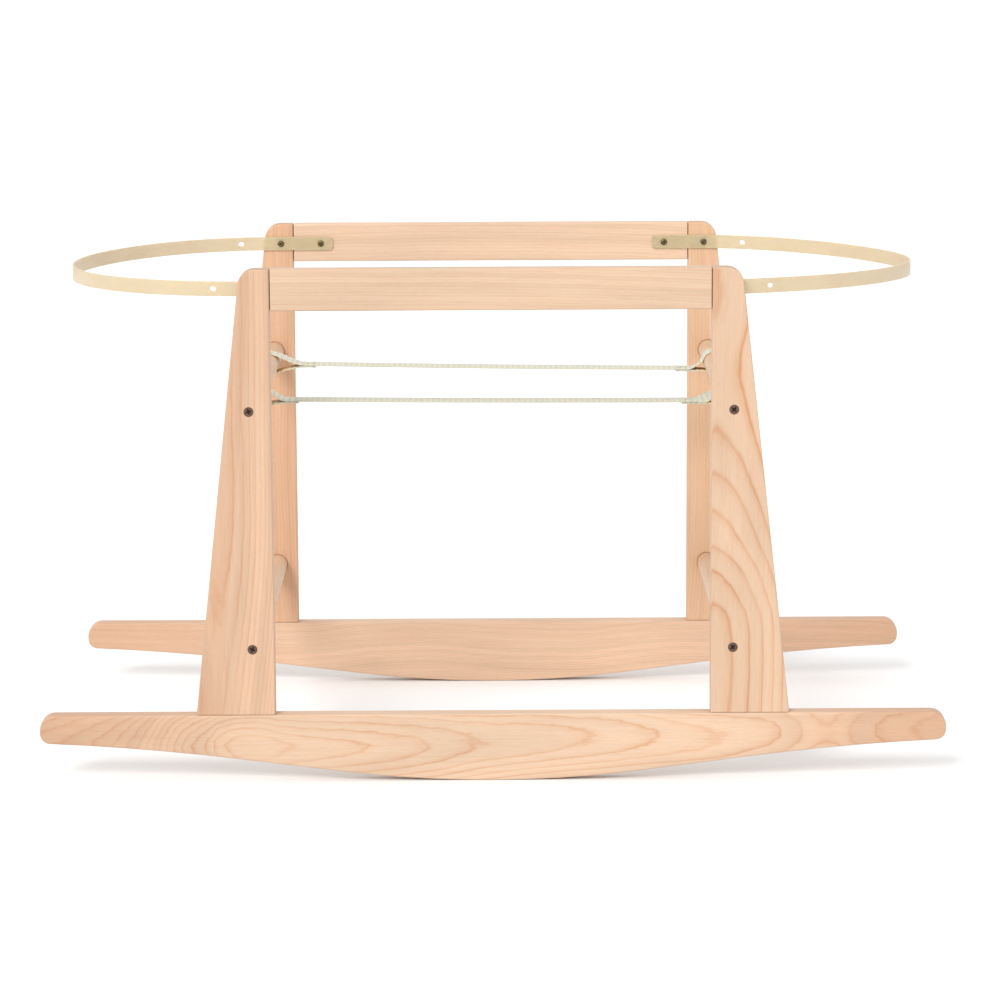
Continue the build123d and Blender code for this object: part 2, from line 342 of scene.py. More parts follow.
# Each board's figure, in millimetres. The front face lies start from the pith, which runs in front
# of the board. Rings gives places along the board and how many more rings lie between the pith
# and the face there. Height gives such places and how far up the pith runs, or how far to the right
# for a leg. Shade gives places and how much the wood darkens. A stave is a strip of its own tone to
# the right of an edge, which is given by places up the leg and how far to the right it runs.
PLAIN = dict(width=3.4, start=24, waver=1.2, strength=0.4)
BOARDS = {
    "front_rocker": dict(
        width=3.2, start=41, waver=1.6, strength=1.0, tone=(0.935, 0.955, 0.96),
        shade=[(-440, 1.0), (-400, 0.9), (-290, 0.45), (-180, 0.05), (0, 0), (180, 0.05), (300, 0.4),
               (400, 0.95), (440, 1.0)],
        rings=[(-440, 14.6), (-419, 14), (-390, 13), (-362, 11.5), (-340, 9.5), (-318, 6.3), (-300, 4),
               (-277, 2), (-259, 0.2), (-230, -0.6), (-201, 0), (-135, 1), (-64, 2), (-16, 3), (80, 4),
               (170, 5.4), (230, 6.2), (271, 7), (297, 8), (326, 8.8), (345, 8), (369, 7), (402, 6),
               (440, 5)],
        height=[(-440, 30), (-300, 31), (-190, 33), (-121, 33.6), (-60, 35.5), (-1, 40), (86, 44),
                (200, 44), (300, 46), (370, 47), (440, 49)]),
    "back_rocker": dict(
        width=2.6, start=14, waver=1.4, strength=0.6, tone=(0.99, 0.975, 0.97),
        shade=[(-440, 0.9), (-300, 0.4), (-150, 0), (0, 0), (150, 0), (300, 0.4), (440, 0.9)],
        rings=[(-440, 0), (-150, 1.5), (0, 0), (150, 1.6), (440, 0)],
        height=[(-440, -22), (-230, -26), (-90, -16), (60, -26), (200, -15), (440, -24)]),
    "front_right_leg": dict(
        width=5.0, start=120, waver=1.1, strength=1.35, tone=(0.88, 0.87, 0.85),
        rings=[(66, 0.42), (130, 0.43), (158, 0.55), (175, 1), (207, 2), (232, 3), (267, 4), (303, 5),
               (347, 6), (375, 6.25), (410, 6.36), (453, 5.97), (500, 5.97)],
        height=[(66, 203), (200, 204), (290, 206), (330, 211), (350, 212), (390, 209), (500, 204)]),
    "front_left_leg": dict(
        width=2.2, start=72.6, waver=0.8, strength=0.85, tone=(0.83, 0.765, 0.72),
        stave=dict(edge=[(66, -264), (189, -254), (350, -240), (500, -230)], tone=(1.04, 1.075, 1.10)),
        rings=[(66, 2.45), (105, 2.3), (137, 2.0), (200, 1.6), (300, 1.3), (400, 1.15), (500, 1.1)],
        height=[(66, -276), (167, -267), (260, -262), (360, -262), (500, -262)]),
    "back_left_leg": dict(
        width=3.1, start=20, waver=1.3, strength=0.6, tone=(0.90, 0.785, 0.70),
        rings=[(66, 0), (250, 0.8), (500, 0)],
        height=[(66, -170), (250, -176), (500, -168)]),
    "back_right_leg": dict(
        width=3.3, start=22, waver=1.3, strength=0.6, tone=(0.945, 0.87, 0.775),
        rings=[(66, 0), (260, 0.9), (500, 0.2)],
        height=[(66, 300), (250, 306), (500, 296)]),
    "front_top_rail": dict(
        width=2.9, start=16, waver=1.0, strength=0.55, tone=(0.87, 0.88, 0.87),
        rings=[(-215, 0), (0, 0.5), (215, 1.6)],
        height=[(-215, 552), (0, 550), (215, 541)]),
    "back_top_rail": dict(
        width=3.2, start=18, waver=1.1, strength=0.55, tone=(0.95, 0.96, 0.965),
        rings=[(-215, 0.6), (0, 0), (215, 0.4)],
        height=[(-215, 432), (0, 436), (215, 430)]),
    "left_upper_dowel": dict(tone=(0.91, 0.88, 0.83)),
    "left_lower_dowel": dict(tone=(0.93, 0.91, 0.87)),
    "right_upper_dowel": dict(tone=(0.92, 0.90, 0.85)),
    "right_lower_dowel": dict(tone=(0.92, 0.90, 0.86)),
}
PINS = dict(width=2.2, tone=(0.95, 0.95, 0.95))
PINS_SEED = 31


def stretched(tree, vector, along, across, detail=2.0, roughness=0.5):
    """Noise on scales along and across the grain, per metre."""
    return noise(tree, vector, (along, across, across), detail, roughness)


def ring_count(group, given, grown):
    """How many rings lie between the pith and a point: the root of the squares of its height and its
    depth from the pith, both bent by a slow and a quick noise, over the width of a ring."""
    axes = add_node(group, "ShaderNodeSeparateXYZ", {0: given["Place"]}).outputs
    slow = math_node(group, "SUBTRACT", stretched(group, grown, 7, 22, 1.5), 0.5)
    quick = math_node(group, "SUBTRACT", stretched(group, grown, 60, 190), 0.5)
    bend = product(group, math_node(group, "MULTIPLY_ADD", quick, 0.22, slow), given["Waver"], 4.0)
    rise = math_node(group, "ADD", math_node(group, "SUBTRACT", axes["Z"], given["Pith Height"]), bend)
    depth = math_node(group, "ADD", math_node(group, "ADD", axes["Y"], given["Pith Depth"]), bend)
    squares = math_node(group, "ADD", product(group, rise, rise), product(group, depth, depth))
    return math_node(group, "DIVIDE", math_node(group, "SQRT", squares), given["Ring Width"])


def growth_lines(group, given, grown, rings):
    """How strong a growth line is, from 0 to 1: each ring's own darkness by the stops, times a
    strength that is chance for each ring and fades in and out along the grain."""
    ramp = add_node(group, "ShaderNodeValToRGB", {"Fac": math_node(group, "FRACT", rings)})
    ramp.color_ramp.interpolation = "EASE"
    elements = ramp.color_ramp.elements
    while len(elements) < len(RING_STOPS):
        elements.new(0.5)
    for element, (position, value) in zip(elements, RING_STOPS):
        element.position = position
        element.color = (value, value, value, 1.0)
    year = math_node(group, "FLOOR", rings)
    own = add_node(group, "ShaderNodeTexWhiteNoise", {"W": year}, noise_dimensions="1D").outputs["Value"]
    fade = stretched(group, grown, 9, 60)
    strength = product(
        group,
        between(group, own, 0.0, 1.0, 0.55, 1.0),
        between(group, fade, 0.3, 0.7, 0.45, 1.0),
        given["Line Strength"],
    )
    return product(group, ramp.outputs["Color"], strength)


def beech_group(beech):
    """Sawn beech. Growth rings are shells round a pith that wanders in front of the board, so a
    growth line shows where the distance to the pith is a whole number of ring widths."""
    group, given, result = new_group(
        "beech figure",
        {
            "Place": ("Vector", None),
            "Face": ("Vector", None),
            "Pith Depth": ("Float", 0.05),
            "Pith Height": ("Float", 0.0),
            "Ring Width": ("Float", 0.004),
            "Waver": ("Float", 0.002),
            "Line Strength": ("Float", 0.6),
            "Tone": ("Color", (1, 1, 1, 1)),
            "Shade": ("Float", 0.0),
            "Seed": ("Vector", None),
            "Light Wood": ("Color", colour(beech.light_wood)),
            "Growth Line": ("Color", colour(beech.growth_line)),
            "Ray Fleck": ("Color", colour(beech.ray_fleck)),
            "Deep Wood": ("Color", colour(beech.deep_wood)),
        },
        {"Color": "Color", "Roughness": "Float", "Height": "Float"},
    )
    grown = vector_node(group, "ADD", given["Place"], given["Seed"])
    rings = ring_count(group, given, grown)
    line = growth_lines(group, given, grown, rings)

    # Long fibres, short dark rays, broad changes of tone, rings in light and dark bands, end grain
    fibre = stretched(group, grown, 55, 1500, 3.0, 0.6)
    grain = stretched(group, grown, 160, 3800, 2.0, 0.55)
    streak = between(group, stretched(group, grown, 13, 400, 4.0, 0.62), 0.42, 0.80, 0.0, 0.30)
    ray = between(group, stretched(group, grown, 380, 1900, 1.0, 0.4), 0.68, 0.78, smooth=True)
    broad = stretched(group, grown, 5, 30)
    band = add_node(
        group, "ShaderNodeTexNoise", {"W": rings, "Scale": 0.35, "Detail": 1.0}, noise_dimensions="1D"
    ).outputs["Fac"]
    facing = add_node(group, "ShaderNodeSeparateXYZ", {0: given["Face"]}).outputs["X"]
    light = product(
        group,
        between(group, fibre, 0.25, 0.75, 0.94, 1.05),
        between(group, grain, 0.25, 0.75, 0.95, 1.04),
        between(group, broad, 0.3, 0.7, 0.95, 1.04),
        between(group, band, 0.3, 0.7, 0.93, 1.04),
        between(group, math_node(group, "ABSOLUTE", facing), 0.55, 0.98, 1.0, 0.84, smooth=True),
    )

    wood = mixed(group, line, given["Light Wood"], given["Growth Line"])
    wood = mixed(group, streak, wood, given["Growth Line"])
    wood = mixed(group, product(group, ray, 0.30), wood, given["Ray Fleck"])
    wood = tinted(group, wood, given["Tone"])
    wood = mixed(group, given["Shade"], wood, tinted(group, wood, given["Deep Wood"]))
    group.links.new(shaded(group, wood, light), result["Color"])

    matt = between(group, grain, 0.2, 0.8, beech.roughness - 0.05, beech.roughness + 0.07)
    group.links.new(math_node(group, "ADD", matt, product(group, line, 0.06)), result["Roughness"])

    height = math_node(group, "SUBTRACT", product(group, fibre, 0.6), product(group, ray, 0.3))
    height = math_node(group, "SUBTRACT", height, product(group, line, 0.25))
    group.links.new(height, result["Height"])
    return group


def wander(tree, along, points, low, high, unit=MM):
    """A Float Curve along the board: points are pairs of a place in mm and a value in units."""
    values = [value for _, value in points]
    bottom, top = min(values) - 1.0, max(values) + 1.0
    curve = add_node(tree, "ShaderNodeFloatCurve", {"Value": between(tree, along, low * MM, high * MM)})
    line = curve.mapping.curves[0]
    while len(line.points) < len(points):
        line.points.new(0.5, 0.5)
    for point, (place, value) in zip(line.points, sorted(points)):
        point.location = ((place - low) / (high - low), (value - bottom) / (top - bottom))
    curve.mapping.update()
    return between(tree, curve.outputs[0], 0.0, 1.0, bottom * unit, top * unit)


def board_shift(name, length):
    """What moves a turned board so that its front face, or near enough a dowel's axis, is at zero."""
    if length == "y":
        x, _, z = middle(name)
        return (0, x - DOWEL_SHIFT, -z)
    return (0, -FRONT_FACES.get(name.split("_")[0], 0.0), 0)


def beech_material(name, board, group, seed):
    """One board's wood. The Mapping nodes turn the board so that its length runs along X, its
    thickness along Y from the face that shows, and its width along Z."""
    material, tree, shader = new_material(
        "beech " + name.replace("_", " "), {"Specular IOR Level": 0.34, "Coat Weight": 0.0}
    )
    board = {**PLAIN, **board}
    length, low, high = LAYS[name.split("_")[-1]]
    given = tree.nodes.new("ShaderNodeTexCoord").outputs
    turn = TURNS[length]
    place = add_node(
        tree,
        "ShaderNodeMapping",
        {"Vector": given["Object"], "Rotation": turn, "Location": board_shift(name, length)},
        vector_type="POINT",
    ).outputs[0]
    face = add_node(
        tree, "ShaderNodeMapping", {"Vector": given["Normal"], "Rotation": turn}, vector_type="VECTOR"
    ).outputs[0]
    axes = add_node(tree, "ShaderNodeSeparateXYZ", {0: place}).outputs
    along = axes["X"]

    rings = board.get("rings", [(low, 0), ((low + high) / 2, 0.6), (high, 0.1)])
    height = board.get("height", [(low, -9), (0, -11), (high, -8)])
    if length == "z":
        height = [(at, -right) for at, right in height]
    depth = [(at, board["start"] + board["width"] * count) for at, count in rings]
    shade = board.get("shade")
    inputs = {
        "Place": place,
        "Face": face,
        "Pith Depth": wander(tree, along, depth, low, high),
        "Pith Height": wander(tree, along, height, low, high),
        "Ring Width": board["width"] * MM,
        "Waver": board["waver"] * MM,
        "Line Strength": board["strength"],
        "Tone": colour(board["tone"]),
        "Seed": (seed * 1.37, seed * 0.71, seed * 2.13),
        "Shade": wander(tree, along, shade, low, high, 1.0) if shade else 0.0,
    }
    figure = add_node(tree, "ShaderNodeGroup", inputs, node_tree=group).outputs
    wood = figure["Color"]
    if "stave" in board:
        edge = wander(tree, along, [(at, -right) for at, right in board["stave"]["edge"]], low, high)
        past = math_node(tree, "SUBTRACT", edge, axes["Z"])
        stave = tinted(tree, wood, colour(board["stave"]["tone"]))
        wood = mixed(tree, between(tree, past, -0.3 * MM, 0.3 * MM, smooth=True), wood, stave)
    tree.links.new(wood, shader.inputs["Base Color"])
    tree.links.new(figure["Roughness"], shader.inputs["Roughness"])
    add_bump(tree, shader, figure["Height"], 0.16 * MM, 0.6)
    return material


class STAND_OT_beech(bpy.types.Operator):
    """Gives every board, dowel and pin its own beech"""

    bl_idname = "stand.beech"
    bl_label = "Beech boards"

    def execute(self, context):
        group = beech_group(context.scene.stand_beech)
        for seed, (name, board) in enumerate(BOARDS.items(), 1):
            self.dress(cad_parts[name], beech_material(name, board, group, seed))
        pins = beech_material("pins", PINS, group, PINS_SEED)
        for name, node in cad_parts.items():
            if name.endswith("_pins"):
                self.dress(node, pins)
        return {"FINISHED"}

    @staticmethod
    def dress(node, material):
        """Puts the material in the node's first slot."""
        if not node.material_slots:
            node.data.materials.append(material)
        node.material_slots[0].material = material


# Screws


# Angles round a quarter of a cross recess, in degrees, close together at the arm's corners
QUARTER = np.array([0, 6, 11, 13.4, 14.6, 16.5, 21, 28, 36, 45, 54, 62, 69, 73.5, 75.4, 76.6, 79, 84])

# The recess's wall from its floor up, as shares of the edge's distance and of the depth, how far
# its lip is worn down, and where the flat of the head starts, as a share of the edge's distance
RECESS_WALL = ((0.22, 0.98), (0.62, 0.72), (0.86, 0.5), (0.94, 0.24), (0.975, 0.07))
LIP_WEAR = 0.04 * MM
FLAT_FROM = 1.03
RIM_ROUND = 0.22 * MM

# A shank: its share without thread, the core's radius as a share of the thread's, and how many rows
# of points one turn of the thread has
PLAIN_SHARE, CORE_SHARE, THREAD_ROWS = 0.25, 0.72, 5

# Sizes of the two kinds of screw, in metres
FRAME_SCREW = dict(
    rim=0.6 * MM, dome=0.0, cone=2.45 * MM, shank_radius=2.25 * MM, length=49.4 * MM, pitch=2.8 * MM)
HOOP_SCREW = dict(
    rim=0.7 * MM, dome=1.3 * MM, cone=0.02 * MM, shank_radius=1.75 * MM, length=15.2 * MM, pitch=1.5 * MM)
HOOP_RECESS = dict(span=3.6 * MM, arm=1.0 * MM, depth=1.5 * MM)

# How far each screw's cross is turned, in degrees
CROSS_TURNS = {
    ("front", "left", "upper"): 20, ("front", "left", "lower"): 66,
    ("front", "right", "upper"): 50, ("front", "right", "lower"): 38,
    ("back", "left", "upper"): 12, ("back", "left", "lower"): 71,
    ("back", "right", "upper"): 33, ("back", "right", "lower"): 5,
}
HOOP_TURN_FIRST, HOOP_TURN_STEP = 52, 37
SCREW_CREASE = 28


def recess_edge(turns, span, arm):
    """How far a cross recess reaches from the axis: the smaller of span / 2 / cos(t) and
    arm / 2 / sin(t), softened at its corners, with t folded into an eighth of a turn."""
    folded = np.abs((turns + np.pi / 4) % (np.pi / 2) - np.pi / 4)
    long_side = span / 2 / np.cos(folded)
    short_side = arm / 2 / np.maximum(np.sin(folded), 1e-6)
    return (long_side ** -9 + short_side ** -9) ** (-1 / 9)


def head_height(radius, head_radius, dome):
    """The head's height under its top, which is a cap of a sphere, or flat without a dome."""
    if dome <= 0:
        return np.zeros_like(radius)
    ball = (head_radius ** 2 + dome ** 2) / (2 * dome)
    return np.sqrt(np.maximum(ball ** 2 - radius ** 2, 0)) - ball


def screw_rings(turns, head_radius, span, arm, depth, rim, dome, cone, shank_radius, length, pitch):
    """Rings of radii and heights at these turns, from the recess's floor over the head and down the
    shank, with the heights of the recess's floor and of the tip. The thread is the core's radius plus
    the square of a triangle wave of the height over the pitch and the turn round the axis."""
    edge = recess_edge(turns, span, arm)
    round_off = min(RIM_ROUND, rim / 3)

    def cap(radius):
        """The height of this head at a radius."""
        return head_height(radius, head_radius, dome)

    rings = [(edge * share, cap(edge * share) - depth * sunk) for share, sunk in RECESS_WALL]
    rings.append((edge, cap(edge) - LIP_WEAR))
    inner, outer = edge * FLAT_FROM, head_radius - round_off
    for share in (0, 0.3, 0.62, 0.85, 1):
        radius = inner + (outer - inner) * share
        rings.append((radius, cap(radius)))
    for swing in np.radians([30, 60, 90]):
        rings.append((outer + round_off * np.sin(swing), cap(outer) - round_off * (1 - np.cos(swing))))

    under = -dome - rim
    shank_top = under - cone
    tip = under - length
    point_length = shank_radius * 2
    thread_top = shank_top - PLAIN_SHARE * (shank_top - tip - point_length)
    rings += [(head_radius, under), (shank_radius, shank_top), (shank_radius, thread_top)]
    for height in np.arange(thread_top, tip + point_length, -pitch / THREAD_ROWS):
        tooth = np.abs((-height / pitch - turns / (2 * np.pi)) % 1.0 * 2 - 1)
        rings.append((shank_radius * (CORE_SHARE + (1 - CORE_SHARE) * tooth ** 2), height))
    rings.append((shank_radius * 0.6, tip + point_length * 0.7))
    return rings, cap(0.0) - depth, tip


def cross_screw(centre, outward, head_radius, turn, **sizes):
    """A cross-recess screw: its rings carried round the axis, which points outward from the middle of
    the head's top, and closed at the recess's floor and at the tip."""
    turns = np.radians(np.concatenate([QUARTER + 90 * i for i in range(4)]))
    rings, floor, tip = screw_rings(turns, head_radius, **sizes)
    radii = np.array([np.broadcast_to(radius, turns.shape) for radius, _ in rings])
    heights = np.array([np.broadcast_to(height, turns.shape) for _, height in rings])
    centre, axis = np.array(centre), np.array(outward, dtype=float)
    first = np.array([math.cos(turn), 0.0, math.sin(turn)])
    second = np.cross(axis, first)
    around = np.cos(turns)[:, None] * first + np.sin(turns)[:, None] * second
    points = (centre + heights[..., None] * axis + radii[..., None] * around).reshape(-1, 3)
    poles = [centre + axis * float(floor), centre + axis * tip]
    rows, columns = radii.shape
    caps = np.concatenate(pole_faces(rows, columns, rows * columns, rows * columns + 1))
    return np.vstack([points, poles]), grid_faces(rows, columns).tolist() + caps.tolist()


def metal_material(name, tint, wear):
    """Dark plated steel, worn lighter in soft patches, by a factor, and blackened in fine specks."""
    material, tree, shader = new_material(name, {"Metallic": 0.85, "Specular IOR Level": 0.5})
    place = object_place(tree)
    patches = noise(tree, place, (900, 900, 900), 3.0)
    specks = noise(tree, place, (5200, 5200, 5200))
    worn = between(tree, patches, 0.42, 0.66, smooth=True)
    metal = mixed(tree, worn, colour(tint), times(tint, wear))
    metal = shaded(tree, metal, between(tree, specks, 0.3, 0.7, 0.75, 1.1))
    tree.links.new(metal, shader.inputs["Base Color"])
    tree.links.new(between(tree, patches, 0.3, 0.7, 0.42, 0.58), shader.inputs["Roughness"])
    add_bump(tree, shader, specks, 0.03 * MM, 0.5)
    return material


class STAND_OT_frame_screws(bpy.types.Operator):
    """Makes the eight countersunk screws through the legs"""

    bl_idname = "stand.frame_screws"
    bl_label = "Frame screws"

    def execute(self, context):
        screws = context.scene.stand_screws
        material = metal_material("dark bronzed steel", screws.bronze, 1.6)
        recess = dict(span=screws.recess_span, arm=screws.recess_arm, depth=screws.recess_depth)
        for (frame_name, side, level), turn in CROSS_TURNS.items():
            node = f"{frame_name}_{side}_{level}_screw"
            low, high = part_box(node)
            out = FRAMES[frame_name]
            x, _, z = middle(node)
            centre = (x, float(low[1]) if out < 0 else float(high[1]), z)
            head = float(high[0] - low[0]) / 2
            points, faces = cross_screw(
                centre, (0, out, 0), head, math.radians(turn), **recess, **FRAME_SCREW)
            piece = add_piece(
                f"{frame_name}_{side}_{level}_cross_screw", points, faces, material, SCREW_CREASE)
            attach(piece, "frame")
            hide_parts(node)
        return {"FINISHED"}


class STAND_OT_hoop_screws(bpy.types.Operator):
    """Makes the two small domed screws at each end of each hoop"""

    bl_idname = "stand.hoop_screws"
    bl_label = "Hoop screws"

    def execute(self, context):
        material = metal_material("yellow bronzed steel", context.scene.stand_screws.brass, 1.9)
        turn = HOOP_TURN_FIRST
        for frame_name, across in FRAMES.items():
            for side in SIDES:
                node = f"{frame_name}_{side}_hoop_screws"
                low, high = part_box(node)
                head = float(high[2] - low[2]) / 2
                top = float(high[1]) if across < 0 else float(low[1])
                points, faces = np.zeros((0, 3)), []
                for x in (float(low[0]) + head, float(high[0]) - head):
                    screw_points, screw_faces = cross_screw(
                        (x, top, middle(node)[2]), (0, -across, 0), head, math.radians(turn),
                        **HOOP_RECESS, **HOOP_SCREW)
                    faces += [[i + len(points) for i in face] for face in screw_faces]
                    points = np.vstack([points, screw_points])
                    turn += HOOP_TURN_STEP
                piece = add_piece(
                    f"{frame_name}_{side}_hoop_screw_pair", points, faces, material, SCREW_CREASE)
                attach(piece, "frame")
                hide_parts(node)
        return {"FINISHED"}


# Hoops


# How the strips are bent, in mm: the lap over the rail and the bends, as pairs of radius and turn
HOOPS = {
    "left": dict(lap=42.2, bends=[(175, 41)]),
    "right": dict(lap=38.7, bends=[(60, 19), (276, 45)]),
}
STRAIGHT_RUN = 19
DROOP_RADIUS = 6000
STRIP_DROP = 20.6
END_CORNER = 3.5
SLOT_HALF_RUN = 1.1
SLOT_RADIUS = 2.1
SLOT_PLACES = (12.6, 55.0, 97.4)
STATION_STEP = 2.6

# Each slot is in a square block of points. Their offsets from its middle are 1 at the slot's
# outline, which are the points 6 and 12, and 3 at the block's edge
BLOCK = np.linspace(-3, 3, 19)
SLOT_LOW, SLOT_HIGH = 6, 12


def bow_path(hoop, strip):
    """The strip's middle line in plan, in mm, from its front end to its back end. The heading is a
    piecewise straight function of the length run, so each stretch is a line or an arc, and a place is
    the sum of chords, each as long as its arc times sin(h) / h, with h half of its turn."""
    middle_y = INNER_Y / MM - strip / 2
    start = LEG_INNER / MM - hoop["lap"]
    lengths, turned = [0.0, LEG_INNER / MM + STRAIGHT_RUN - start], [0.0, 0.0]
    y = middle_y
    for radius, turn in hoop["bends"]:
        y -= radius * (math.cos(math.radians(turned[-1])) - math.cos(math.radians(turned[-1] + turn)))
        lengths.append(lengths[-1] + radius * math.radians(turn))
        turned.append(turned[-1] + turn)
    crown_radius = y / math.cos(math.radians(turned[-1]))
    lengths.append(lengths[-1] + crown_radius * math.radians(90 - turned[-1]))
    turned.append(90.0)

    # The back half mirrors the front half
    total = 2 * lengths[-1]
    lengths = lengths + [total - value for value in lengths[-2::-1]]
    turned = turned + [180 - value for value in turned[-2::-1]]
    run = np.unique(np.concatenate([np.linspace(0, total, 4001), lengths]))
    heading = np.radians(np.interp(run, lengths, turned))
    chord = np.diff(run) * np.sinc(np.diff(heading) / 2 / np.pi)
    way = (heading[1:] + heading[:-1]) / 2
    x = start + np.concatenate([[0], np.cumsum(chord * np.cos(way))])
    y = -middle_y + np.concatenate([[0], np.cumsum(chord * np.sin(way))])
    return run, x, y, heading


def strip_section(strip, tall, rounding):
    """The strip's section as pairs of height and thickness: up the outer face, round the top edge,
    down the inner face and round the bottom. Also both faces' columns, from the bottom up."""
    flat = tall / 2 - rounding
    outer = np.stack([BLOCK / 3 * flat, np.full(len(BLOCK), strip / 2)], axis=-1)
    swing = np.radians([30, 60, 90])
    rise, away = flat + rounding * np.sin(swing), strip / 2 - rounding + rounding * np.cos(swing)
    top = np.concatenate([np.stack([rise, away], -1), np.stack([rise, -away], -1)[::-1]])
    section = np.concatenate([outer, top, outer[::-1] * [1, -1], -top])
    outer_at = np.arange(len(outer))
    inner_at = len(outer) + len(top) + outer_at[::-1]
    return section, outer_at, inner_at


def strip_stations(total, flat):
    """Places along the strip: its rounded ends, the slots' blocks and the runs between them. Also
    the place of each slot with the row where its block starts."""
    ends = END_CORNER * (1 - np.cos(np.radians(np.arange(0, 91, 15))))
    slots = sorted([*SLOT_PLACES, *(total - place for place in SLOT_PLACES)])
    edges = [edge for place in slots for edge in (place - flat, place + flat)]
    stops = [END_CORNER, *edges, total - END_CORNER]
    parts, starts = [ends[:-1]], []
    for index, (low, high) in enumerate(zip(stops[:-1], stops[1:])):
        if index % 2:
            starts.append(sum(len(part) for part in parts))
            parts.append(((low + high) / 2 + BLOCK / 3 * flat)[:-1])
        else:
            steps = max(2, int(round((high - low) / STATION_STEP)))
            parts.append(np.linspace(low, high, steps + 1)[:-1])
    parts.append(total - ends[::-1])
    return np.concatenate(parts), list(zip(slots, starts))


def slot_block(flat):
    """Places of a block's points along and up from its middle, and which of them are outside the
    hole. A point whose larger offset is q lies on the slot's outline, which is two half circles
    joined by straights, at q = 1, on the block's square edge at q = 3, and evenly between."""
    a, b = np.meshgrid(BLOCK, BLOCK, indexing="ij")
    q = np.maximum(np.abs(a), np.abs(b))
    edge_a, edge_b = np.abs(a) / np.maximum(q, 1e-9), np.abs(b) / np.maximum(q, 1e-9)
    way = np.where(edge_b >= edge_a, edge_a, 2 - edge_b)
    bent = np.radians(90 * (1 - (np.clip(way, 1 / 3, 2) - 1 / 3) / (5 / 3)))
    slot_a = SLOT_HALF_RUN * np.clip(way * 3, 0, 1) + SLOT_RADIUS * np.cos(bent) * (way > 1 / 3)
    slot_b = SLOT_RADIUS * np.sin(bent)
    blend = np.clip((q - 1) / 2, 0, 1)
    along = np.sign(a) * slot_a * (1 - blend) + a / 3 * flat * blend
    up = np.sign(b) * slot_b * (1 - blend) + b / 3 * flat * blend
    return along, up, q >= 1 - 1e-9


def strip_points(nylon, hoop):
    """The strip as a closed section of points carried along its path. In its own flat frame a point is
    (run, height, thickness). Its ends have round corners, and it droops on a circle as it bows out.
    Each slot's block leaves out the squares in its middle and has a wall through the strip."""
    strip, tall, rounding = nylon.thickness / MM, nylon.height / MM, nylon.edge_round / MM
    run, path_x, path_y, heading = bow_path(hoop, strip)
    total = run[-1]
    flat = tall / 2 - rounding
    section, outer_at, inner_at = strip_section(strip, tall, rounding)
    along, slots = strip_stations(total, flat)
    rows, columns = len(along), len(section)

    where = np.repeat(along[:, None], columns, axis=1)
    thick = np.repeat(section[None, :, 1], rows, axis=0)
    inset = END_CORNER - np.minimum(np.minimum(along, total - along), END_CORNER)
    tallest = tall / 2 - END_CORNER + np.sqrt(np.maximum(END_CORNER ** 2 - inset ** 2, 0))
    height = section[None, :, 0] * (tallest / (tall / 2))[:, None]

    slot_along, slot_up, shown = slot_block(flat)
    keep = np.ones((rows - 1, columns), dtype=bool)
    hole = np.arange(SLOT_LOW, SLOT_HIGH)
    ring_along = np.concatenate(
        [hole, np.full_like(hole, SLOT_HIGH), hole[::-1] + 1, np.full_like(hole, SLOT_LOW)])
    ring_up = np.roll(ring_along, len(hole))
    walls = []
    for place, start in slots:
        for face_at in (outer_at, inner_at):
            block = np.ix_(start + np.arange(len(BLOCK)), face_at)
            where[block] = np.where(shown, place + slot_along, where[block])
            height[block] = np.where(shown, slot_up, height[block])
        keep[np.ix_(start + hole, outer_at[hole])] = False
        keep[np.ix_(start + hole, inner_at[hole] - 1)] = False
        near = (start + ring_along) * columns + outer_at[ring_up]
        far = (start + ring_along) * columns + inner_at[ring_up]
        walls.append(np.stack([near, far, np.roll(far, -1), np.roll(near, -1)], axis=-1))

    turn = np.interp(where, run, heading)
    x = np.interp(where, run, path_x) + thick * np.sin(turn)
    y = np.interp(where, run, path_y) - thick * np.cos(turn)
    past = np.maximum(x - (LEG_INNER / MM + STRAIGHT_RUN), 0)
    level = STAND_HEIGHT / MM - STRIP_DROP
    z = level - DROOP_RADIUS + np.sqrt((DROOP_RADIUS + height) ** 2 - past ** 2)
    points = np.stack([x, y, z], axis=-1).reshape(-1, 3)
    faces = grid_faces(rows, columns)[keep.ravel()].tolist() + np.concatenate(walls).tolist()
    faces += end_faces(rows, columns)

    # The points inside the slots are left out
    used = np.unique(np.concatenate([np.asarray(face) for face in faces]))
    renumber = np.full(len(points), -1)
    renumber[used] = np.arange(len(used))
    return points[used], [renumber[face].tolist() for face in faces]


def nylon_material(nylon):
    """Milky nylon that lets a little light through, with a faint drawn sheen along its length."""
    material, tree, shader = new_material("cream nylon", {
        "Subsurface Weight": 0.5, "Subsurface Radius": (1.0, 0.75, 0.45), "Subsurface Scale": 3 * MM,
        "Alpha": 0.70, "IOR": 1.5,
    })
    place = object_place(tree)
    cloud = noise(tree, place, (35, 35, 60))
    drawn = noise(tree, place, (90, 90, 2600))
    clouded = between(tree, cloud, 0.3, 0.7, 0.97, 1.02)
    shade = product(tree, clouded, between(tree, drawn, 0.3, 0.7, 0.985, 1.015))
    tree.links.new(shaded(tree, colour(nylon.cream), shade), shader.inputs["Base Color"])
    tree.links.new(between(tree, drawn, 0.3, 0.7, 0.30, 0.42), shader.inputs["Roughness"])
    add_bump(tree, shader, drawn, 0.04 * MM, 0.5)
    return material


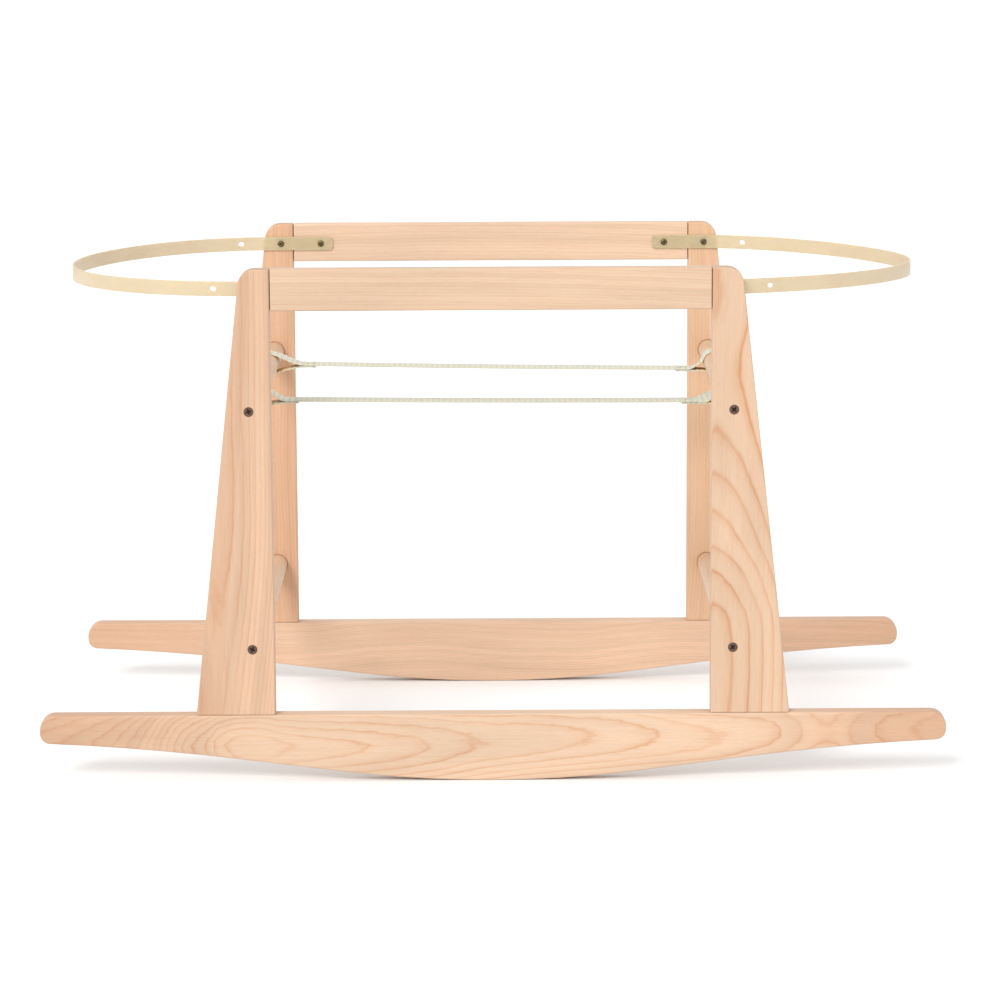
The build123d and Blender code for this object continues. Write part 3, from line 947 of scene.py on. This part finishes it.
class STAND_OT_hoops(bpy.types.Operator):
    """Makes the two bent nylon hoops with their slots"""

    bl_idname = "stand.hoops"
    bl_label = "Nylon hoops"

    def execute(self, context):
        nylon = context.scene.stand_nylon
        material = nylon_material(nylon)
        for side, out in SIDES.items():
            points, faces = strip_points(nylon, HOOPS[side])
            points = points * np.array([out, 1, 1]) * MM
            piece = add_piece(f"{side}_nylon_hoop", points, faces, material, crease=40)
            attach(piece, "frame")
            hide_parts(f"{side}_hoop")
        return {"FINISHED"}


# Straps


# Sizes of the straps, in mm: how far their middles lie from the stand's, how long the sewn ends are,
# the gap round a dowel, half of the overlap of two sewn layers and how deep the long run sags
STRAP_Y = 118
SEWN = 14
DOWEL_GAP = 0.15
PRESSED = 0.03
SAG = 0.7

# A rib has this many rows of points and is this much squarer than a plain wave. A cut end tapers
# over this length, in mm, to this share of the thickness
RIB_ROWS, RIB_SQUARENESS = 10, 1.7
END_TAPER, END_SHARE = 1.2, 0.55

# How many points a strap's line has on a leg of a loop, round a dowel, on a tail and on its run
LEG_COUNT, ARC_COUNT, TAIL_COUNT, RUN_COUNT = 60, 90, 12, 220

# The two loops of each strap, in mm. The join is how far in from the dowel and how far below its
# axis the loop is sewn. Leave gives the angles on the dowel, from the inward side, where the upper
# and the lower leg leave it. Rise gives the slopes of both legs at the join, and roll how much
# higher the back edge of the upper leg lies than its front edge.
LOOPS = {
    "front": {
        "left": dict(join=(29.0, 4.9), leave=(74, 292), rise=(14, -12), roll=0.0),
        "right": dict(join=(31.5, 7.6), leave=(24, 286), rise=(8, -2), roll=5.2),
    },
    "back": {
        "left": dict(join=(35.0, 1.7), leave=(76, 292), rise=(10, -10), roll=0.8),
        "right": dict(join=(25.5, 8.0), leave=(18, 286), rise=(4, 0), roll=-2.6),
    },
}

# Sewing, in mm: how many stitches a bar has, how far the bars are from the sewn end's own ends and
# from its edges, how long and thick a stitch is, and how far the tufts stand off the edges
BAR_STITCHES = 8
BAR_INSET, EDGE_INSET = 1.6, 2
STITCH_LENGTH, STITCH_RADIUS, TUFT_LENGTH = 2.8, 0.34, 3.0
STITCH_SINK = 0.06
TUFT_OUT = 0.7
GOLDEN_ANGLE = 2.39996


def hermite(start, start_way, end, end_way, count):
    """A cubic from start to end whose slopes there are the two ways: the sum of the four Hermite
    polynomials of t times the ends and ways."""
    t = np.linspace(0, 1, count)[:, None]
    return (
        (2 * t**3 - 3 * t**2 + 1) * start + (t**3 - 2 * t**2 + t) * start_way
        + (-2 * t**3 + 3 * t**2) * end + (t**3 - t**2) * end_way
    )


def strap_joins(loops):
    """The dowels' middles and the joins, by side, as (x, z) in mm, and the ways along and up."""
    centre = {side: np.array([out * DOWEL_X / MM, DOWEL_Z / MM]) for side, out in SIDES.items()}
    joins = {
        side: centre[side] + np.array([-out * loops[side]["join"][0], -loops[side]["join"][1]])
        for side, out in SIDES.items()
    }
    span = joins["right"] - joins["left"]
    span /= np.linalg.norm(span)
    return centre, joins, span, np.array([-span[1], span[0]])


def loop_line(loop, out, centre, join, span, up, thickness):
    """One loop's line from its join over the dowel to its tail: a cubic, an arc, a cubic and a
    straight. Also the roll at each point, and how much painted shade the webbing's inside takes there."""
    reach = DOWEL_RADIUS / MM + DOWEL_GAP + thickness / 2
    half = thickness / 2 - PRESSED
    upper, lower = np.radians(loop["leave"])
    rise_up, rise_low = np.radians(loop["rise"])

    def on_dowel(angle):
        """A point of the line where it lies round the dowel."""
        return centre + reach * np.stack([-out * np.cos(angle), np.sin(angle)], axis=-1)

    def round_dowel(angle):
        """The way of the line there."""
        return np.array([out * math.sin(angle), math.cos(angle)])

    def outward(angle):
        """The way outward that rises by an angle."""
        return np.array([out * math.cos(angle), math.sin(angle)])

    top_join, low_join = join + up * half, join - up * half
    gap = np.linalg.norm(on_dowel(upper) - top_join)
    upper_leg = hermite(
        top_join, outward(rise_up) * gap, on_dowel(upper), round_dowel(upper) * gap * 1.05, LEG_COUNT)
    arc = on_dowel(np.linspace(upper, lower, ARC_COUNT))
    gap = np.linalg.norm(on_dowel(lower) - low_join)
    lower_leg = hermite(
        on_dowel(lower), round_dowel(lower) * gap, low_join, -outward(rise_low) * gap, LEG_COUNT)
    tail = low_join + (span * -out)[None, :] * np.linspace(0, SEWN, TAIL_COUNT)[:, None]
    line = np.concatenate([upper_leg, arc[1:], lower_leg[1:], tail[1:]])

    # The painted shade on the inside starts a little way up the upper leg and fades out along the lower leg
    rolled = loop["roll"] * np.sin(np.pi * np.linspace(0, 1, LEG_COUNT) ** 0.8) ** 2
    rolls = np.concatenate([rolled, np.zeros(len(line) - LEG_COUNT)])
    inside = np.concatenate([
        np.clip(np.linspace(-0.35, 2.5, LEG_COUNT), 0, 1),
        np.ones(ARC_COUNT - 1),
        np.clip(np.linspace(1, -0.1, LEG_COUNT - 1), 0, 1),
        np.zeros(TAIL_COUNT - 1),
    ])
    return line, rolls, inside


def strap_path(loops, thickness):
    """The strap's middle line as (x, z) in mm, the roll at each place and how much painted shade the inside
    takes.
    From the left tail under the run, back round the left dowel, along the run, which sags by a half
    wave, round the right dowel and to the right tail."""
    centre, joins, span, up = strap_joins(loops)
    left, right = (
        loop_line(loops[side], out, centre[side], joins[side], span, up, thickness)
        for side, out in SIDES.items()
    )
    run = np.linspace(left[0][0], right[0][0], RUN_COUNT)
    run[:, 1] -= SAG * np.sin(np.linspace(0, np.pi, RUN_COUNT))
    middles = (run[1:-1], np.zeros(RUN_COUNT - 2), np.zeros(RUN_COUNT - 2))
    return [np.concatenate([one[::-1], between_them, other])
            for one, between_them, other in zip(left, middles, right)]


def webbing_section(width, edge):
    """Across the band, pairs of place and share of half its thickness: along the upper face, round
    the right edge, back along the lower face and round the left edge."""
    flat = np.linspace(-1, 1, 15)
    upper = np.stack([flat * (width / 2 - edge), np.ones(len(flat))], axis=-1)
    swing = np.radians([30, 60, 90])
    right = np.stack([width / 2 - edge + edge * np.sin(swing), np.cos(swing)], axis=-1)
    right = np.concatenate([right, (right * [1, -1])[:-1][::-1]])
    return np.concatenate([upper, right, (upper * [1, -1])[::-1], (right * [-1, 1])[::-1]])


def strap_points(webbing, frame_name):
    """A band carried along the strap's path. Across it, a flat oblong section with rounded edges. Its
    faces stand out by the rib height times the hyperbolic tangent of a cosine of the length over the
    rib pitch, and its edges by a part of that. The roll lifts one edge and drops the other."""
    thickness, width = webbing.thickness / MM, webbing.width / MM
    pitch, rib_height = webbing.rib_pitch / MM, webbing.rib_height / MM
    line, roll, inside = strap_path(LOOPS[frame_name], thickness)
    step = np.concatenate([[0], np.cumsum(np.linalg.norm(np.diff(line, axis=0), axis=1))])
    total = step[-1]
    ribs = round(total / pitch)
    count = int(ribs) * RIB_ROWS + 1
    run = np.linspace(0, total, count)
    x, z = np.interp(run, step, line[:, 0]), np.interp(run, step, line[:, 1])
    smooth = np.array([1, 4, 6, 4, 1]) / 16
    for _ in range(2):
        x[2:-2], z[2:-2] = np.convolve(x, smooth, "valid"), np.convolve(z, smooth, "valid")
    roll, inside = np.interp(run, step, roll), np.interp(run, step, inside)
    way = np.stack([np.gradient(x), np.gradient(z)], axis=-1)
    way /= np.linalg.norm(way, axis=1)[:, None]

    edge = thickness / 2
    section = webbing_section(width, edge)
    columns = len(section)
    rib = np.tanh(RIB_SQUARENESS * np.cos(2 * np.pi * run / (total / ribs)))
    stand = edge - rib_height + rib_height * rib
    ends = np.clip(np.minimum(run, total - run) / END_TAPER, 0, 1)
    thinned = stand * (END_SHARE + (1 - END_SHARE) * np.sqrt(ends))
    off = section[None, :, 1] * thinned[:, None] + roll[:, None] * section[None, :, 0] / width
    across = np.repeat(section[None, :, 0], count, axis=0)
    px = x[:, None] - way[:, 1, None] * off
    py = FRAMES[frame_name] * STRAP_Y + across
    pz = z[:, None] + way[:, 0, None] * off
    points = np.stack([px, py, pz], axis=-1).reshape(-1, 3) * MM
    faces = grid_faces(count, columns).tolist() + end_faces(count, columns)
    uv = np.stack([across, np.repeat(run[:, None], columns, 1)], axis=-1).reshape(-1, 2) * MM
    # How much painted shade each point takes: the inner faces of the loops, faded along their legs
    painted_shade_marks = (inside[:, None] * np.clip(-section[:, 1], 0, 1)[None, :]).ravel()
    return points, faces, uv, painted_shade_marks, total * MM


def stitch_points(centres, ways, lengths, radius):
    """Small closed stitches, each an ellipsoid: its middle, plus half its length times the cosine of
    one angle along its way, plus a circle of the radius times that angle's sine."""
    ways = ways / np.linalg.norm(ways, axis=1)[:, None]
    second = np.cross(ways, [0.05, 0.1, 1.0])
    second /= np.linalg.norm(second, axis=1)[:, None]
    third = np.cross(ways, second)
    polar = np.radians(np.linspace(0, 180, 9))[1:-1]
    around = np.radians(np.arange(0, 360, 45))
    circle = np.cos(around)[:, None] * second[:, None, :] + np.sin(around)[:, None] * third[:, None, :]
    half = (lengths / 2)[:, None] * ways
    points = (
        centres[:, None, None, :]
        + np.cos(polar)[:, None, None] * half[:, None, None, :]
        + radius * np.sin(polar)[:, None, None] * circle[:, None, :, :]
    ).reshape(len(centres), -1, 3)
    poles = np.stack([centres + half, centres - half], axis=1)
    each = points.shape[1] + 2
    rows, columns = len(polar), len(around)
    shift = (np.arange(len(centres)) * each)[:, None, None]
    faces = []
    for some in (grid_faces(rows, columns), *pole_faces(rows, columns, each - 2, each - 1)):
        faces += (some[None] + shift).reshape(-1, some.shape[1]).tolist()
    return np.concatenate([points, poles], axis=1).reshape(-1, 3), faces


def sewing(webbing, frame_name):
    """Middles, ways and lengths of the stitches in mm: on both faces of each sewn end, two bars and a
    cross, and a few loose ends at the edges, spread by the golden angle."""
    thickness, width = webbing.thickness / MM, webbing.width / MM
    _, joins, span, up = strap_joins(LOOPS[frame_name])
    along = np.array([span[0], 0.0, span[1]])
    above = np.array([up[0], 0.0, up[1]])
    reach = width / 2 - EDGE_INSET
    step = np.linspace(-reach, reach, BAR_STITCHES)
    inset, outset = BAR_INSET, SEWN - BAR_INSET
    slant = inset + (outset - inset) * (step + reach) / (2 * reach)
    level = np.ones(BAR_STITCHES)

    # Places along and across for each row of stitches, and the way its stitches point
    rows = [
        (inset * level, step, (0, 1)),
        (outset * level, step, (0, 1)),
        (slant, step, (outset - inset, 2 * reach)),
        (slant, -step, (outset - inset, -2 * reach)),
    ]
    centres, ways, lengths = [], [], []
    for side, out in SIDES.items():
        origin = np.array([joins[side][0], FRAMES[frame_name] * STRAP_Y, joins[side][1]])
        inward = -out * along
        for face in (-1, 1):
            for places, across, (run, rise) in rows:
                stitches = origin + places[:, None] * inward + face * (thickness - STITCH_SINK) * above
                stitches[:, 1] += across
                centres.append(stitches)
                ways.append(np.tile(run * inward + np.array([0.0, rise, 0.0]), (BAR_STITCHES, 1)))
                lengths.append(STITCH_LENGTH * level)
        turn = np.arange(6) * GOLDEN_ANGLE + out
        edges = np.repeat([-1.0, 1.0], 3)
        tufts = origin + np.outer([inset, outset, SEWN] * 2, inward)
        tufts[:, 1] += edges * (width / 2 + TUFT_OUT)
        centres.append(tufts)
        ways.append(np.stack([0.5 * np.cos(turn), edges, 0.8 * np.sin(turn)], axis=-1))
        lengths.append(TUFT_LENGTH + np.sin(turn))
    return np.concatenate(centres), np.concatenate(ways), np.concatenate(lengths)


def thread_material(webbing):
    """Cream sewing thread, a little brighter and smoother than the webbing."""
    material, tree, shader = new_material("sewing thread", {"Roughness": 0.6, "Specular IOR Level": 0.3})
    twist = noise(tree, object_place(tree), (2400, 2400, 2400), 1.0)
    thread = mixed(tree, twist, times(webbing.cream, 0.78), times(webbing.cream, 1.12))
    tree.links.new(thread, shader.inputs["Base Color"])
    add_bump(tree, shader, twist, 0.05 * MM, 0.6)
    return material


def wave(tree, operation, place, pitch):
    """The sine or cosine of a place, one turn for each pitch."""
    return math_node(tree, operation, product(tree, place, 2 * math.pi / pitch))


def webbing_material(webbing):
    """Woven webbing. The weave is the product of two sine waves, one along the band and one across
    it, with painted shade darkening the grooves between the ribs."""
    material, tree, shader = new_material("cream webbing", {
        "Roughness": 0.85, "Specular IOR Level": 0.2, "Sheen Weight": 0.15,
        "Subsurface Weight": 0.3, "Subsurface Radius": (1.0, 0.8, 0.45), "Subsurface Scale": 2 * MM,
    })
    place = add_node(tree, "ShaderNodeUVMap", uv_map="webbing").outputs["UV"]
    axes = add_node(tree, "ShaderNodeSeparateXYZ", {0: place}).outputs
    warp = wave(tree, "SINE", axes["X"], 0.85 * MM)
    weft = wave(tree, "SINE", axes["Y"], webbing.rib_pitch / 6)
    weave = product(tree, warp, weft)
    rib = wave(tree, "COSINE", axes["Y"], webbing.rib_pitch)
    thread = noise(tree, place, (900, 3500, 1))
    # The grooves between the ribs get painted shade; the weave and the thread noise are the webbing's own
    # pattern
    shade = product(
        tree,
        between(tree, rib, -1.0, 0.5, 0.88, 1.0, smooth=True),
        between(tree, weave, -1.0, 1.0, 0.93, 1.03),
        between(tree, thread, 0.3, 0.7, 0.95, 1.04),
    )
    cream = shaded(tree, colour(webbing.cream), shade)
    # Painted shade inside each loop where the webbing wraps the dowel, warmed as if by light bounced off the
    # wood
    inside = add_node(tree, "ShaderNodeAttribute", attribute_name="inside").outputs["Fac"]
    tree.links.new(mixed(tree, inside, cream, colour(webbing.painted_loop_shade)), shader.inputs["Base Color"])
    add_bump(tree, shader, math_node(tree, "ADD", product(tree, weave, 0.35), thread), 0.12 * MM, 0.8)
    return material


class STAND_OT_stitches(bpy.types.Operator):
    """Makes the sewing that closes the straps' loops"""

    bl_idname = "stand.stitches"
    bl_label = "Strap stitches"

    def execute(self, context):
        webbing = context.scene.stand_webbing
        material = thread_material(webbing)
        for frame_name in FRAMES:
            centres, ways, lengths = sewing(webbing, frame_name)
            points, faces = stitch_points(centres * MM, ways, lengths * MM, STITCH_RADIUS * MM)
            piece = add_piece(f"{frame_name}_strap_stitches", points, faces, material, crease=60)
            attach(piece, f"{frame_name}_strap")
        return {"FINISHED"}


class STAND_OT_straps(bpy.types.Operator):
    """Makes the two webbing straps with their sewn loops"""

    bl_idname = "stand.straps"
    bl_label = "Webbing straps"

    def execute(self, context):
        webbing = context.scene.stand_webbing
        material = webbing_material(webbing)
        for frame_name in FRAMES:
            points, faces, uv, painted_shade_marks, length = strap_points(webbing, frame_name)
            piece = add_piece(
                f"{frame_name}_webbing_strap", points, faces, material, crease=50, uv=uv, painted_shade_marks=painted_shade_marks)
            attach(piece, f"{frame_name}_strap")
            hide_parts(f"{frame_name}_strap")
        return {"FINISHED"}


# Stage


# The floor's half width and how many points it has each way
FLOOR_REACH, FLOOR_COUNT = 45, 10

# The key light's own width, its heading from the front and its height, in degrees
KEY_WIDTH, KEY_HEADING, KEY_HEIGHT = 24, -25, 35

# The camera, fitted to the stand's edges in the photograph: its place in metres, its lens and
# sensor in mm, and its turns in radians
CAMERA_PLACE = (0.00083, -3.7344, 0.88582)
LENS, SENSOR = 133.34, 36
CAMERA_DOWN, CAMERA_YAW, CAMERA_ROLL = 0.172091, 0.0019833, -0.0048812


def floor_material(stage):
    """A plain pale floor with a trace of unevenness."""
    material, tree, shader = new_material("pale floor", {"Roughness": 1.0, "Specular IOR Level": 0.0})
    shade = between(tree, noise(tree, object_place(tree), (2, 2, 2)), 0.3, 0.7, 0.995, 1.005)
    tree.links.new(shaded(tree, colour(stage.floor), shade), shader.inputs["Base Color"])
    return material


def add_floor(stage):
    """A flat grid of squares that faces up."""
    side = np.linspace(-FLOOR_REACH, FLOOR_REACH, FLOOR_COUNT)
    x, y = np.meshgrid(side, side, indexing="ij")
    points = np.stack([x, y, np.zeros_like(x)], axis=-1).reshape(-1, 3)
    faces = grid_faces(FLOOR_COUNT, FLOOR_COUNT, closed=False)[:, ::-1]
    mesh = bpy.data.meshes.new("floor")
    mesh.from_pydata(points.tolist(), [], faces.tolist())
    mesh.materials.append(floor_material(stage))
    floor = bpy.data.objects.new("floor", mesh)
    bpy.context.collection.objects.link(floor)


def add_lights(stage):
    """An even white sky and a soft key light from the front, the left and above."""
    world = bpy.data.worlds.new("studio")
    world.use_nodes = True
    background = world.node_tree.nodes["Background"]
    background.inputs["Color"].default_value = (1, 1, 1, 1)
    background.inputs["Strength"].default_value = stage.sky
    bpy.context.scene.world = world

    key = bpy.data.lights.new("key", "SUN")
    key.energy = stage.key
    key.angle = math.radians(KEY_WIDTH)
    lamp = bpy.data.objects.new("key", key)
    heading, height = math.radians(KEY_HEADING), math.radians(KEY_HEIGHT)
    level = math.cos(height)
    toward = Vector((math.sin(heading) * level, -math.cos(heading) * level, math.sin(height)))
    lamp.rotation_euler = toward.to_track_quat("Z", "Y").to_euler()
    lamp.location = toward * 5
    bpy.context.collection.objects.link(lamp)


def add_camera():
    """A camera that looks ahead by its yaw and down by its pitch, rolled about that line."""
    data = bpy.data.cameras.new("camera")
    data.sensor_width = SENSOR
    data.lens = LENS
    data.clip_end = 200
    level = math.cos(CAMERA_DOWN)
    ahead = Vector((math.sin(CAMERA_YAW) * level, math.cos(CAMERA_YAW) * level, -math.sin(CAMERA_DOWN)))
    right = Vector((math.cos(CAMERA_YAW), -math.sin(CAMERA_YAW), 0))
    up = right.cross(ahead)
    rolled_right = math.cos(CAMERA_ROLL) * right + math.sin(CAMERA_ROLL) * up
    rolled_up = -math.sin(CAMERA_ROLL) * right + math.cos(CAMERA_ROLL) * up
    columns = (rolled_right, rolled_up, -ahead, CAMERA_PLACE)
    camera = bpy.data.objects.new("camera", data)
    camera.matrix_world = Matrix([[column[i] for column in columns] for i in range(3)] + [(0, 0, 0, 1)])
    bpy.context.collection.objects.link(camera)
    bpy.context.scene.camera = camera
    bpy.context.scene.view_settings.view_transform = "Standard"


class STAND_OT_stage(bpy.types.Operator):
    """Makes the floor, the lights and the camera"""

    bl_idname = "stand.stage"
    bl_label = "Stage"

    def execute(self, context):
        stage = context.scene.stand_stage
        add_floor(stage)
        add_lights(stage)
        add_camera()
        return {"FINISHED"}


# Panel and run


class STAND_PT_panel(bpy.types.Panel):
    """Lists the steps that dress the stand"""

    bl_label = "Rocking basket stand"
    bl_idname = "STAND_PT_panel"
    bl_space_type = "VIEW_3D"
    bl_region_type = "UI"
    bl_category = "Stand"

    def draw(self, context):
        for operator in OPERATORS:
            self.layout.operator(operator.bl_idname)


SETTINGS = {
    "stand_beech": BeechSettings,
    "stand_screws": ScrewSettings,
    "stand_nylon": NylonSettings,
    "stand_webbing": WebbingSettings,
    "stand_stage": StageSettings,
}
OPERATORS = (
    STAND_OT_stage, STAND_OT_beech, STAND_OT_frame_screws, STAND_OT_hoop_screws, STAND_OT_hoops,
    STAND_OT_straps, STAND_OT_stitches,
)


def register():
    for kind in (*SETTINGS.values(), *OPERATORS, STAND_PT_panel):
        bpy.utils.register_class(kind)
    for name, kind in SETTINGS.items():
        setattr(bpy.types.Scene, name, PointerProperty(type=kind))


def unregister():
    for name in SETTINGS:
        delattr(bpy.types.Scene, name)
    for kind in reversed((*SETTINGS.values(), *OPERATORS, STAND_PT_panel)):
        bpy.utils.unregister_class(kind)


def main():
    register()
    bpy.ops.stand.stage()
    bpy.ops.stand.beech()
    bpy.ops.stand.frame_screws()
    bpy.ops.stand.hoop_screws()
    bpy.ops.stand.hoops()
    bpy.ops.stand.straps()
    bpy.ops.stand.stitches()


if __name__ == "__main__":
    main()
